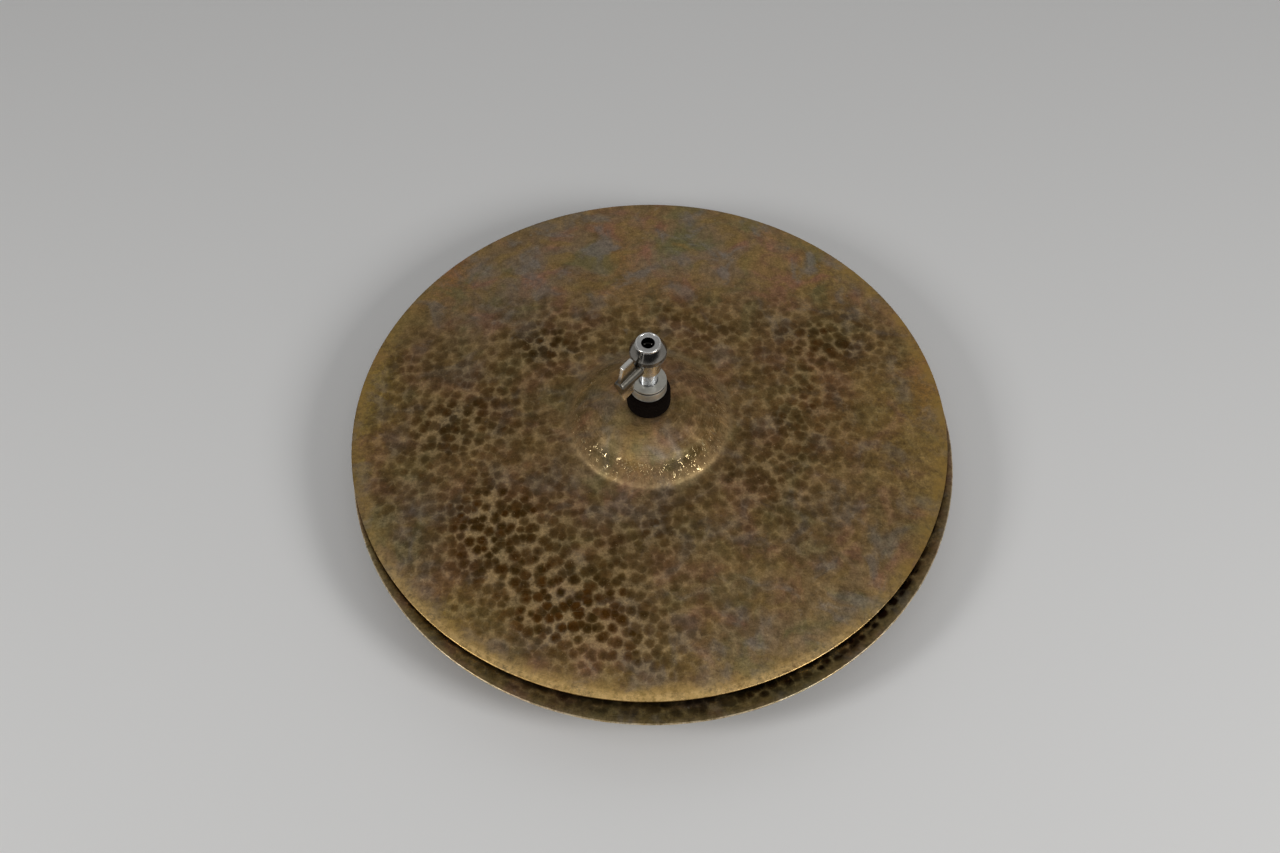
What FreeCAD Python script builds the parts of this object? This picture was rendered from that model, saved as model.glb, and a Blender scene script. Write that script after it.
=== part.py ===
"""A pair of 14 inch hi-hat cymbals with the drop clutch that holds the upper one.

The lower cymbal lies bell down on the floor, and the upper one lies loose on its rim, a little off
centre.  The clutch stands in the upper cymbal's centre hole: a head with a wing screw, a hollow
threaded tube, two round nuts and a felt above the cymbal, and a felt, a washer and a nut below it.

Frame: millimetres, +Z up, origin at the centre of the lower cymbal's hole, on the floor.
"""
import FreeCAD, Part
import math
import os

from FreeCAD import Placement, Rotation, Vector

# ---- cymbals: both are turned from the same form, in different thicknesses ----------------------
CYMBAL_R = 177.8            # 14 inch diameter
CYMBAL_HEIGHT = 33.5        # rim edge to bell top
BOW_RADIUS = 977.0          # spherical bow between the bell and the rim
BELL_R = 48.0               # where the bell dome would meet the bow
BELL_FILLET = 7.0           # hollow curve at the foot of the bell
CROWN_R = 13.0              # flat on top of the bell
HOLE_R = 6.0
UPPER_THICK = 1.15
LOWER_THICK = 1.35

# ---- how the upper cymbal lies on the lower one ---------------------------------------------------
HAT_X = -2.0                # offset of the upper hat and the clutch from the lower cymbal
HAT_Y = 13.0
RIM_GAP = 0.3

# ---- clutch: depths are measured down from the top of the head ------------------------------------
CLUTCH_ABOVE_BELL = 58.5    # head top to bell top
ROD_BORE_R = 3.3            # runs on a 6 mm pull rod
HEAD_R = 7.3
COLLAR_R = 10.7
COLLAR_DEPTH = 10.2
HEAD_DEPTH = 24.2
TUBE_R = 5.15
TUBE_TOP_DEPTH = 6.0
LOCK_NUT_DEPTH = 35.5
ADJUST_NUT_DEPTH = 37.0
WASHER_DEPTH = 42.9
UPPER_FELT_DEPTH = 43.9
NUT_R = 10.6
FELT_R = 12.7
FELT_ROUND = 2.0
RUN_CLEARANCE = 0.05        # radial, between a nut's bore and the tube

# ---- below the upper cymbal -----------------------------------------------------------------------
LOWER_FELT_THICK = 7.0
LOWER_WASHER_THICK = 1.0
BOTTOM_NUT_THICK = 9.0
BOTTOM_NUT_R = 9.5
INSERT_R = 6.6
INSERT_THICK = 2.5
TUBE_PROUD = 2.0            # tube end below the bottom nut
SLEEVE_R = 5.9
SLEEVE_HALF = 5.0

# ---- wing screw: radii are measured out from the clutch axis ---------------------------------------
SCREW_DEPTH = 16.0
SCREW_AZIMUTH = 229.5       # degrees from +X
SCREW_R = 3.0
TIP_FACE_R = 3.7
TIP_THICK = 1.1
SHANK_END_R = 17.0
HUB_START_R = 8.6
HUB_END_R = 26.3
HUB_R = 4.4
WING_HALF_SPAN = 15.2
WING_THICK = 2.4
EAR_IN_R = 14.3             # the ear tips run between these two radii
EAR_OUT_R = 22.8
WAIST_R = 12.8              # inner edge of the ears beside the collar
BEAD_THICK = 3.2
BEAD_HEIGHT = 1.4

# ---- levels worked out from the sizes above --------------------------------------------------------
RIM_Z = CYMBAL_HEIGHT + RIM_GAP
BELL_TOP_Z = RIM_Z + CYMBAL_HEIGHT
CLUTCH_TOP_Z = BELL_TOP_Z + CLUTCH_ABOVE_BELL
LOWER_FELT_TOP = BELL_TOP_Z - UPPER_THICK
LOWER_WASHER_TOP = LOWER_FELT_TOP - LOWER_FELT_THICK
BOTTOM_NUT_TOP = LOWER_WASHER_TOP - LOWER_WASHER_THICK
TUBE_END_Z = BOTTOM_NUT_TOP - BOTTOM_NUT_THICK - TUBE_PROUD
SLEEVE_LOW = BELL_TOP_Z - UPPER_THICK / 2 - SLEEVE_HALF
SLEEVE_HIGH = SLEEVE_LOW + 2 * SLEEVE_HALF


def save(node, shape):
    """Write one sub-part, checking that it is closed."""
    assert shape.isValid() and shape.Volume > 0, node
    shape.exportStep("parts/" + node + ".step")
    print(f"{node:22s} {shape.Volume / 1000:9.3f} cm3")


def at_clutch(shape, z=0.0):
    """Move a shape from the world axis to the clutch axis, with its own zero at height z."""
    shape.translate(Vector(HAT_X, HAT_Y, z))
    return shape


def turned(outline):
    """A solid of revolution about Z from (radius, height) corners and (via, end) arcs.

    Each entry is a point (r, z), or an arc ((r, z) on the way, (r, z) at its end).
    """
    start = here = Vector(outline[0][0], 0, outline[0][1])
    edges = []
    for entry in outline[1:] + [outline[0]]:
        if isinstance(entry[0], tuple):
            via, end = (Vector(r, 0, z) for r, z in entry)
            edges.append(Part.Arc(here, via, end).toShape())
        else:
            end = Vector(entry[0], 0, entry[1])
            edges.append(Part.makeLine(here, end))
        here = end
    assert (here - start).Length < 1e-6
    face = Part.Face(Part.Wire(edges))
    return face.revolve(Vector(), Vector(0, 0, 1), 360)


def ring(r_in, r_out, z_low, z_high, chamfer=0.0):
    """A plain washer, with the outer edges chamfered."""
    c = chamfer
    points = [(r_in, z_low), (r_out - c, z_low)]
    if c:
        points += [(r_out, z_low + c), (r_out, z_high - c)]
    points += [(r_out - c, z_high), (r_in, z_high)]
    return turned(points)


def on_arc(centre, radius, slope):
    """The point of a circle where its surface leans outward by the slope, in radians."""
    return (centre[0] + radius * math.sin(slope), centre[1] + radius * math.cos(slope))


def cymbal(thickness):
    """A cymbal, bell up, with its rim's lower edge at z = 0.

    The section is a flat crown, a dome, a hollow fillet and a spherical bow.  Both surfaces share the
    arcs' centres, so the wall is the same thickness all along.
    """
    rim_slope = math.asin(CYMBAL_R / BOW_RADIUS)
    bow = (0.0, -(BOW_RADIUS - thickness) * math.cos(rim_slope))
    foot_z = bow[1] + math.sqrt(BOW_RADIUS ** 2 - BELL_R ** 2)
    run = BELL_R - CROWN_R
    rise = CYMBAL_HEIGHT - foot_z
    dome_radius = (run ** 2 + rise ** 2) / (2 * rise)
    dome = (CROWN_R, CYMBAL_HEIGHT - dome_radius)

    # The fillet's circle touches the dome and the bow from outside.
    apart = math.dist(dome, bow)
    to_dome = dome_radius + BELL_FILLET
    to_bow = BOW_RADIUS + BELL_FILLET
    along = (apart ** 2 + to_dome ** 2 - to_bow ** 2) / (2 * apart)
    aside = math.sqrt(to_dome ** 2 - along ** 2)
    ux, uz = (bow[0] - dome[0]) / apart, (bow[1] - dome[1]) / apart
    fillet = (dome[0] + ux * along - uz * aside, dome[1] + uz * along + ux * aside)
    dome_slope = math.atan2(fillet[0] - dome[0], fillet[1] - dome[1])
    bow_slope = math.atan2(fillet[0] - bow[0], fillet[1] - bow[1])

    def surface(inset):
        """Section points from the crown to the rim, inset below the outer surface."""
        bend = BELL_FILLET + inset
        middle = (dome_slope + bow_slope) / 2
        return [
            (HOLE_R, CYMBAL_HEIGHT - inset),
            (CROWN_R, CYMBAL_HEIGHT - inset),
            on_arc(dome, dome_radius - inset, dome_slope / 2),
            on_arc(dome, dome_radius - inset, dome_slope),
            on_arc(fillet, -bend, middle),
            on_arc(fillet, -bend, bow_slope),
            on_arc(bow, BOW_RADIUS - inset, (bow_slope + rim_slope) / 2),
            on_arc(bow, BOW_RADIUS - inset, rim_slope),
        ]

    top = surface(0.0)
    under = surface(thickness)
    outline = [top[0], top[1], (top[2], top[3]), (top[4], top[5]), (top[6], top[7])]
    outline += [under[7], (under[6], under[5]), (under[4], under[3]), (under[2], under[1]), under[0]]
    return turned(outline)


def lower_cymbal():
    """The heavier cymbal, bell down, standing on its crown."""
    shape = cymbal(LOWER_THICK)
    shape.Placement = Placement(Vector(0, 0, CYMBAL_HEIGHT), Rotation(Vector(1, 0, 0), 180))
    return shape


def upper_cymbal():
    """The lighter cymbal, bell up, on the lower one's rim."""
    return at_clutch(cymbal(UPPER_THICK), RIM_Z)


def screw_cylinder(radius, r_from, r_to):
    """A cylinder along the wing screw's axis, between two radii from the clutch axis."""
    angle = math.radians(SCREW_AZIMUTH)
    out = Vector(math.cos(angle), math.sin(angle), 0)
    base = Vector(HAT_X, HAT_Y, CLUTCH_TOP_Z - SCREW_DEPTH) + out * r_from
    return Part.makeCylinder(radius, r_to - r_from, base, out)


def clutch_head():
    """The turned head: a rolled top edge, a conical collar, a straight body and a socket for the tube."""
    edge = 0.9
    neck = 1.4
    skirt = 3.4             # height of the collar's straight lower wall
    outline = [
        (ROD_BORE_R, -TUBE_TOP_DEPTH), (ROD_BORE_R, -0.6), (ROD_BORE_R + 0.4, -0.15), (HEAD_R - edge, -0.15),
        ((HEAD_R - 0.25, -0.25), (HEAD_R, -edge)), (HEAD_R, -neck),
        (COLLAR_R, -COLLAR_DEPTH + skirt), (COLLAR_R, -COLLAR_DEPTH + 0.4), (COLLAR_R - 0.4, -COLLAR_DEPTH),
        (HEAD_R, -COLLAR_DEPTH), (HEAD_R, -HEAD_DEPTH + 0.5), (HEAD_R - 0.5, -HEAD_DEPTH),
        (TUBE_R, -HEAD_DEPTH), (TUBE_R, -TUBE_TOP_DEPTH),
    ]
    head = at_clutch(turned(outline), CLUTCH_TOP_Z)
    return head.cut(screw_cylinder(SCREW_R, 0, HEAD_R + 1))


def threaded_tube():
    """The hollow tube that everything is threaded on, cross-drilled for the wing screw."""
    top = CLUTCH_TOP_Z - TUBE_TOP_DEPTH
    tube = at_clutch(ring(ROD_BORE_R, TUBE_R, TUBE_END_Z, top))
    return tube.cut(screw_cylinder(SCREW_R, 0, HEAD_R))


def screw_shank():
    """The wing screw's steel shank, with a blind hole in its end for the tip."""
    shank_start = TIP_FACE_R + TIP_THICK
    shank = screw_cylinder(SCREW_R - RUN_CLEARANCE, shank_start, SHANK_END_R)
    return shank.cut(screw_cylinder(1.05, shank_start, shank_start + 2.3))


def screw_tip():
    """The tip that presses on the pull rod: a button with a stem in the shank's end."""
    button = screw_cylinder(2.5, TIP_FACE_R, TIP_FACE_R + TIP_THICK)
    stem = screw_cylinder(1.0, TIP_FACE_R + TIP_THICK, TIP_FACE_R + TIP_THICK + 2.0)
    return button.fuse(stem).removeSplitter()


def plate(outline, thickness):
    """A flat plate in the XZ plane from (x, z) corners, centred on y = 0."""
    corners = [Vector(x, -thickness / 2, z) for x, z in outline]
    face = Part.Face(Part.makePolygon(corners + corners[:1]))
    return face.extrude(Vector(0, thickness, 0))


def screw_wing():
    """The cast wing: a tapered hub and two flat ears, each with a thicker bead at its tip.

    It is made along +X from the clutch axis, then turned to the screw's direction.
    """
    hub_length = HUB_END_R - HUB_START_R
    hub = Part.makeCone(HUB_R, HUB_R - 0.8, hub_length, Vector(HUB_START_R, 0, 0), Vector(1, 0, 0))
    tip = WING_HALF_SPAN
    waist = tip * 0.55
    outer = HUB_END_R - 0.8
    web = [
        (WAIST_R - 1.5, 0), (WAIST_R, waist), (EAR_IN_R, tip), (EAR_OUT_R, tip), (outer, tip * 0.3),
        (outer, -tip * 0.3), (EAR_OUT_R, -tip), (EAR_IN_R, -tip), (WAIST_R, -waist),
    ]
    wing = hub.fuse(plate(web, WING_THICK))
    for side in (1, -1):
        bead = [
            (EAR_IN_R - 0.2, side * (tip - BEAD_HEIGHT)), (EAR_IN_R, side * tip),
            (EAR_OUT_R, side * tip), (EAR_OUT_R + 0.2, side * (tip - BEAD_HEIGHT)),
        ]
        wing = wing.fuse(plate(bead, BEAD_THICK))
    wing = wing.removeSplitter()
    wing.rotate(Vector(), Vector(0, 0, 1), SCREW_AZIMUTH)
    at_clutch(wing, CLUTCH_TOP_Z - SCREW_DEPTH)
    return wing.cut(screw_cylinder(SCREW_R - RUN_CLEARANCE, 0, SHANK_END_R))


def clutch_ring(r_in, r_out, top_depth, thickness, chamfer=0.0):
    """A round nut or washer on the tube, hung from a depth below the clutch top."""
    top = CLUTCH_TOP_Z - top_depth
    return at_clutch(ring(r_in, r_out, top - thickness, top, chamfer))


def felt(thickness, r_in, z_low):
    """A felt washer with rounded outer edges."""
    s = FELT_ROUND * (1 - math.sqrt(0.5))
    z_high = z_low + thickness
    outline = [
        (r_in, z_low), (FELT_R - FELT_ROUND, z_low),
        ((FELT_R - s, z_low + s), (FELT_R, z_low + FELT_ROUND)), (FELT_R, z_high - FELT_ROUND),
        ((FELT_R - s, z_high - s), (FELT_R - FELT_ROUND, z_high)), (r_in, z_high),
    ]
    return at_clutch(turned(outline))


def bottom_nut(bore):
    """The nut under the cymbal, with grip grooves round it and a pocket for the locking ring."""
    grooves = 24
    groove_r = 0.6
    low = BOTTOM_NUT_TOP - BOTTOM_NUT_THICK
    nut = ring(bore, BOTTOM_NUT_R, low, BOTTOM_NUT_TOP, 0.8)
    nut = nut.cut(Part.makeCylinder(INSERT_R, INSERT_THICK, Vector(0, 0, low)))
    cutters = []
    for i in range(grooves):
        angle = 2 * math.pi * i / grooves
        spot = Vector(BOTTOM_NUT_R * math.cos(angle), BOTTOM_NUT_R * math.sin(angle), low)
        cutters.append(Part.makeCylinder(groove_r, BOTTOM_NUT_THICK, spot))
    return at_clutch(nut.cut(Part.makeCompound(cutters)))


def nut_insert(bore):
    """The nylon ring that grips the thread so that the bottom nut can't shake loose."""
    low = BOTTOM_NUT_TOP - BOTTOM_NUT_THICK
    return at_clutch(ring(bore, INSERT_R, low, low + INSERT_THICK))


def main():
    os.makedirs("parts", exist_ok=True)
    bore = TUBE_R + RUN_CLEARANCE
    felt_hole = SLEEVE_R + 0.1

    save("lower_cymbal", lower_cymbal())
    save("upper_cymbal", upper_cymbal())
    save("clutch_head", clutch_head())
    save("threaded_tube", threaded_tube())
    save("wing_screw_tip", screw_tip())
    save("wing_screw_shank", screw_shank())
    save("wing_screw_wing", screw_wing())
    save("lock_nut", clutch_ring(bore, NUT_R - 0.1, LOCK_NUT_DEPTH, ADJUST_NUT_DEPTH - LOCK_NUT_DEPTH, 0.4))
    save("adjusting_nut", clutch_ring(bore, NUT_R, ADJUST_NUT_DEPTH, WASHER_DEPTH - ADJUST_NUT_DEPTH, 0.5))
    save("upper_washer", clutch_ring(bore, NUT_R, WASHER_DEPTH, UPPER_FELT_DEPTH - WASHER_DEPTH))
    save("upper_felt", felt(CLUTCH_ABOVE_BELL - UPPER_FELT_DEPTH, felt_hole, BELL_TOP_Z))
    save("cymbal_sleeve", at_clutch(ring(TUBE_R, SLEEVE_R, SLEEVE_LOW, SLEEVE_HIGH)))
    save("lower_felt", felt(LOWER_FELT_THICK, felt_hole, LOWER_WASHER_TOP))
    save("lower_washer", at_clutch(ring(bore, NUT_R, BOTTOM_NUT_TOP, LOWER_WASHER_TOP)))
    save("bottom_nut", bottom_nut(bore))
    save("bottom_nut_insert", nut_insert(bore))


main()
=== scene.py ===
"""The looks of a pair of hi-hat cymbals and their clutch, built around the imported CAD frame.

Lengths in this script are in millimetres and are turned into Blender's metres by MM where a mesh is
made.  Every place comes from the CAD frame: each piece is built where its node's box says.
"""

import math

import bmesh
import bpy
import numpy as np
from mathutils import Matrix, Vector, noise


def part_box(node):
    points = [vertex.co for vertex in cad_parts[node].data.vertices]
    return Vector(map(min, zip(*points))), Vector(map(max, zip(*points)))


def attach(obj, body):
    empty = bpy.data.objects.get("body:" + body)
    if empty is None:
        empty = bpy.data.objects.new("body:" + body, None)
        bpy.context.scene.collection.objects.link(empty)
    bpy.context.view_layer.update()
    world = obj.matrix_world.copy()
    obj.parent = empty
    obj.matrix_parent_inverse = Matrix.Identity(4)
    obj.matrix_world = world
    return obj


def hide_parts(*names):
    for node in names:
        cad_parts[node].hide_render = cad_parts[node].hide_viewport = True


MM = 0.001

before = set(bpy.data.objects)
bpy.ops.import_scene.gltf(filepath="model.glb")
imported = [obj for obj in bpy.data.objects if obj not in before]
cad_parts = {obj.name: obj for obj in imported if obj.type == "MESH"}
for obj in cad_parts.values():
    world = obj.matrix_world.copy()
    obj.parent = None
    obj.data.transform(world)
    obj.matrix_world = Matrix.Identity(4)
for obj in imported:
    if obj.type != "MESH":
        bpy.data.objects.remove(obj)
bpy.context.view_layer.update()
scene = bpy.context.scene


# ---- reading the frame ----
def node_box(node):
    """A CAD node's lowest and highest corners, in millimetres."""
    low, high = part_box(node)
    return low / MM, high / MM


def ring_size(node):
    """Outer radius, lowest level and highest level of a round CAD node, in millimetres."""
    low, high = node_box(node)
    return (high.x - low.x) / 2, low.z, high.z


def node_centre(node):
    low, high = node_box(node)
    return (low + high) / 2


CLUTCH = node_centre("threaded_tube")
UPPER = node_centre("upper_cymbal")
LOWER = node_centre("lower_cymbal")
RIM_LEVEL = node_box("upper_cymbal")[0].z
BELL_TOP = node_box("upper_cymbal")[1].z

# ---- driving dimensions, the same as the CAD model's ----
CYMBAL_R = 177.8
CYMBAL_HEIGHT = 33.5
BOW_RADIUS = 977.0
BELL_R = 48.0
BELL_FILLET = 7.0
CROWN_R = 13.0
HOLE_R = 6.0
UPPER_THICK = 1.15
LOWER_THICK = 1.35
ROD_BORE_R = 3.3
TUBE_R = 5.15
PITCH = 1.0
CLUTCH_STANDS = 58.5
CLUTCH_TOP = BELL_TOP + CLUTCH_STANDS
HEAD_R = 7.3
COLLAR_R = 10.7
COLLAR_DEPTH = 10.2
COLLAR_SKIRT = 3.4
NECK_DEPTH = 1.4
HEAD_DEPTH = 24.2
TUBE_TOP_DEPTH = 6.0
NUT_BORE_R = 5.2
SCREW_DEPTH = 16.0
SCREW_AZIMUTH = math.radians(229.5)
SCREW_HOLE_R = 3.0
SHANK_R = 2.95
TIP_START = 3.7
SHANK_START = 4.8
SHANK_END = 17.0
HUB_START = 8.6
HUB_END = 26.3
HUB_R = 4.4
WING_HALF_SPAN = 15.2
WING_THICK = 2.4
EAR_IN = 14.3
EAR_OUT = 22.8
WAIST = 12.8

# ---- details that only the looks have ----
STEP_WIDTH = 3.6                # how far the nuts' turned-down ends stand back
STEP_ROUNDING = 0.15
HAIR = 0.02                     # clearance that keeps faces that touch from crossing
BEAD_THICK = 2.8
SMOOTH_ANGLE = 35.0             # degrees; edges sharper than this stay sharp


# ---- meshes ----
def new_piece(name, points, faces, smooth_angle=SMOOTH_ANGLE):
    """A mesh object from points in millimetres, shaded smooth except at sharp edges."""
    mesh = bpy.data.meshes.new(name)
    mesh.from_pydata([tuple(c * MM for c in p) for p in points], [], faces)
    mesh.validate()
    mesh.polygons.foreach_set("use_smooth", [True] * len(mesh.polygons))
    mesh.set_sharp_from_angle(angle=math.radians(smooth_angle))
    piece = bpy.data.objects.new(name, mesh)
    scene.collection.objects.link(piece)
    return piece


def grid_faces(rows, columns, close_rows):
    """Quads between rows of points that each run right round."""
    faces = []
    last = rows if close_rows else rows - 1
    for i in range(last):
        a = i * columns
        b = ((i + 1) % rows) * columns
        for j in range(columns):
            k = (j + 1) % columns
            faces.append((a + j, a + k, b + k, b + j))
    return faces


def lathe(name, outline, centre, columns=160, press=None, smooth_angle=SMOOTH_ANGLE):
    """A closed ring turned about a vertical axis from (radius, height) points, listed anticlockwise.

    press says how far the surface is pushed in at a (radius, height, angle).
    """
    points = []
    for radius, height in outline:
        for j in range(columns):
            angle = 2 * math.pi * j / columns
            r = radius - press(radius, height, angle) if press else radius
            points.append((centre.x + r * math.cos(angle), centre.y + r * math.sin(angle), height))
    return new_piece(name, points, grid_faces(len(outline), columns, True), smooth_angle)


def rounded(corners, steps=4):
    """A closed outline from (radius, height, rounding) corners, with each rounded corner as an arc."""
    out = []
    count = len(corners)
    for i, (x, y, rounding) in enumerate(corners):
        here = Vector((x, y))
        if not rounding:
            out.append((x, y))
            continue
        before = (Vector(corners[i - 1][:2]) - here).normalized()
        after = (Vector(corners[(i + 1) % count][:2]) - here).normalized()
        half = before.angle(after) / 2
        reach = rounding / math.tan(half)
        middle = here + (before + after).normalized() * rounding / math.sin(half)
        start = here + before * reach - middle
        end = here + after * reach - middle
        for k in range(steps + 1):
            turn = start.slerp(end, k / steps).normalized() * rounding
            out.append((middle.x + turn.x, middle.y + turn.y))
    return out


def ring_outline(bore, radius, low, high, rounding, chamfer, low_step=0.0, high_step=0.0, steps=5):
    """The section of a round nut with a chamfered bore, rounded corners and a turned-down end or two."""
    inner = radius - STEP_WIDTH
    corners = [(bore, low + chamfer, 0), (bore + chamfer, low, 0)]
    if low_step:
        corners += [(inner, low, 0), (inner, low + low_step, 0), (radius, low + low_step, STEP_ROUNDING)]
    else:
        corners += [(radius, low, rounding)]
    if high_step:
        corners += [(radius, high - high_step, STEP_ROUNDING), (inner, high - high_step, 0), (inner, high, 0)]
    else:
        corners += [(radius, high, rounding)]
    return rounded(corners + [(bore + chamfer, high, 0), (bore, high - chamfer, 0)], steps)


def cut(piece, cutter):
    """Subtracts one mesh from another and deletes the cutter."""
    modifier = piece.modifiers.new("cut", "BOOLEAN")
    modifier.operation = "DIFFERENCE"
    modifier.solver = "EXACT"
    modifier.object = cutter
    apply_modifiers(piece)
    bpy.data.objects.remove(cutter)
    piece.data.set_sharp_from_angle(angle=math.radians(SMOOTH_ANGLE))


def apply_modifiers(piece):
    """Replaces a piece's mesh by what its modifiers make of it."""
    graph = bpy.context.evaluated_depsgraph_get()
    mesh = bpy.data.meshes.new_from_object(piece.evaluated_get(graph), depsgraph=graph)
    mesh.name = piece.name
    piece.modifiers.clear()
    piece.data = mesh


def aim(piece, along):
    """Turns a mesh built along +X so that it points along a horizontal angle, then lifts it to the screw."""
    place = Matrix.Translation(Vector((CLUTCH.x, CLUTCH.y, CLUTCH_TOP - SCREW_DEPTH)) * MM)
    piece.data.transform(place @ Matrix.Rotation(along, 4, "Z"))
    return piece


def thread(along, angle, depth=0.16):
    """How deep a fine screw thread's groove is; its flat crests are wider than its grooves."""
    phase = along / PITCH + angle / (2 * math.pi)
    return depth * max(0.0, 1.6 * math.cos(2 * math.pi * phase) - 0.6) ** 0.8


def rod(name, stations, columns=64, press=None):
    """A solid bar along +X from the clutch axis, through (distance, radius) stations."""
    points = []
    for x, radius in stations:
        for j in range(columns):
            angle = 2 * math.pi * j / columns
            r = radius - press(x, angle) if press else radius
            points.append((x, r * math.cos(angle), r * math.sin(angle)))
    faces = grid_faces(len(stations), columns, False)
    faces.append(tuple(reversed(range(columns))))
    faces.append(tuple((len(stations) - 1) * columns + j for j in range(columns)))
    return new_piece(name, points, faces)


# ---- materials ----
class Tree:
    """Short calls for building a node tree."""

    def __init__(self, tree):
        self.tree = tree

    def make(self, kind, inputs=None, **settings):
        node = self.tree.nodes.new(kind)
        for key, value in settings.items():
            setattr(node, key, value)
        for key, value in (inputs or {}).items():
            if isinstance(value, bpy.types.NodeSocket):
                self.tree.links.new(value, node.inputs[key])
            else:
                node.inputs[key].default_value = value
        return node

    def math(self, operation, a, b=0.0):
        return self.make("ShaderNodeMath", {0: a, 1: b}, operation=operation).outputs[0]

    def times(self, *values):
        """All the values multiplied together."""
        product = values[0]
        for value in values[1:]:
            product = self.math("MULTIPLY", product, value)
        return product

    def line(self, value, slope, start):
        """start plus slope times value."""
        return self.math("ADD", self.math("MULTIPLY", value, slope), start)

    def plus(self, total, value, share):
        """total plus a share of value."""
        return self.math("ADD", total, self.math("MULTIPLY", value, share))

    def ramp(self, value, low, high, smooth=True):
        """0 below low, 1 above high; the other way round when low is the larger."""
        kind = "SMOOTHSTEP" if smooth else "LINEAR"
        flip = low > high
        inputs = {"Value": value, "From Min": min(low, high), "From Max": max(low, high),
                  "To Min": 1.0 if flip else 0.0, "To Max": 0.0 if flip else 1.0}
        return self.make("ShaderNodeMapRange", inputs, interpolation_type=kind).outputs[0]

    def mix(self, factor, a, b, blend="MIX"):
        node = self.make("ShaderNodeMix", data_type="RGBA", blend_type=blend)
        for socket, value in ((node.inputs[0], factor), (node.inputs[6], a), (node.inputs[7], b)):
            if isinstance(value, bpy.types.NodeSocket):
                self.tree.links.new(value, socket)
            elif isinstance(value, tuple):
                socket.default_value = (*value, 1.0)
            else:
                socket.default_value = value
        return node.outputs[2]

    def layer(self, colour, amount, other, blend="MIX"):
        """A colour with another laid over it, at most fully."""
        return self.mix(self.math("MINIMUM", amount, 1.0), colour, other, blend)

    def noise(self, vector, scale, detail=2.0, roughness=0.5, distortion=0.0):
        inputs = {"Vector": vector, "Scale": scale, "Detail": detail, "Roughness": roughness,
                  "Distortion": distortion}
        return self.make("ShaderNodeTexNoise", inputs).outputs[0]

    def moved(self, vector, offset=(0, 0, 0), scale=(1, 1, 1)):
        return self.make("ShaderNodeVectorMath", {0: vector, 1: scale, 2: offset},
                         operation="MULTIPLY_ADD").outputs[0]

    def attribute(self, name):
        return self.make("ShaderNodeAttribute", attribute_name=name)

    def stored(self, name, kind):
        """A mesh's stored numbers, in geometry nodes."""
        return self.make("GeometryNodeInputNamedAttribute", {"Name": name}, data_type=kind).outputs[0]

    def split(self, colour):
        node = self.make("ShaderNodeSeparateXYZ", {0: colour})
        return node.outputs[0], node.outputs[1], node.outputs[2]

    def object_mm(self):
        """Object coordinates in millimetres."""
        place = self.make("ShaderNodeTexCoord").outputs["Object"]
        return self.moved(place, scale=(1 / MM, 1 / MM, 1 / MM))

    def bump(self, height, distance_mm, normal=None):
        inputs = {"Height": height, "Distance": distance_mm * MM, "Strength": 1.0}
        if normal is not None:
            inputs["Normal"] = normal
        return self.make("ShaderNodeBump", inputs).outputs[0]


def new_material(name):
    """An empty node material, its node helper and its Principled shader."""
    material = bpy.data.materials.new(name)
    material.use_nodes = True
    nodes = Tree(material.node_tree)
    shader = material.node_tree.nodes["Principled BSDF"]
    return material, nodes, shader


def connect(nodes, shader, **sockets):
    """Links or sets Principled inputs, with underscores for spaces."""
    for key, value in sockets.items():
        socket = shader.inputs[key.replace("_", " ")]
        if isinstance(value, bpy.types.NodeSocket):
            nodes.tree.links.new(value, socket)
        elif isinstance(value, tuple) and len(value) == 3:
            socket.default_value = (*value, 1.0)
        else:
            socket.default_value = value


def wear(piece, material, slot, body, *nodes):
    """Gives a piece its material, the body it rides on and the CAD nodes it stands for; slot is not used."""
    piece.data.materials.clear()
    piece.data.materials.append(material)
    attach(piece, body)
    if nodes:
        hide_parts(*nodes)
    return piece


# ---- cymbals ----
MARK_SIZES = ((7.2, 0.0), (8.6, 31.7))      # cell sizes and shifts of the two layers of hammer marks
DENT_DEPTH = 0.07
WAVE_DEPTH = 0.3
UPPER_SHIFT = 500.0                         # each cymbal's own place in the noise and the marks
LOWER_SHIFT = 900.0
UPPER_BAND = (166, 176.5)                   # radii where a lathed rim starts and where it is full
LOWER_BAND = (176.8, 177.5)


def hammer_marks(nodes, place):
    """How far inside a hammer mark a place is, how dark and red that mark is, and its hollow: 0 to 1.

    Round marks of different sizes overlap at random.  This one function shapes the mesh and colours it.
    """
    inside = darkness = redness = hollow = None
    for size, shift in MARK_SIZES:
        wobble = nodes.noise(nodes.moved(place, offset=(shift, 5, 0)), 0.42, 2.0)
        at = nodes.moved(place, offset=(shift, shift / 2, 0))
        cell = nodes.make("ShaderNodeTexVoronoi", {"Vector": at, "Scale": 1 / size, "Randomness": 0.92},
                          voronoi_dimensions="2D", feature="F1")
        away = nodes.times(cell.outputs["Distance"], size)
        away = nodes.plus(away, nodes.math("SUBTRACT", wobble, 0.5), 2.4)
        one, two, three = nodes.split(cell.outputs["Color"])
        radius = nodes.line(one, 1.5, 2.5)
        share = nodes.math("DIVIDE", away, radius)
        disc = nodes.ramp(share, 1.26, 0.66)
        bowl = nodes.ramp(share, 1.15, 0.2)
        dark = nodes.times(bowl, nodes.line(two, 0.6, 0.4))
        red = nodes.times(disc, three)
        if inside is None:
            inside, darkness, redness, hollow = disc, dark, red, bowl
        else:
            inside = nodes.math("MAXIMUM", inside, disc)
            darkness = nodes.math("MAXIMUM", darkness, dark)
            redness = nodes.math("MAXIMUM", redness, red)
            hollow = nodes.math("MAXIMUM", hollow, bowl)
    return inside, darkness, redness, hollow


def on_arc(centre, radius, slope):
    return (centre[0] + radius * math.sin(slope), centre[1] + radius * math.cos(slope))


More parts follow.
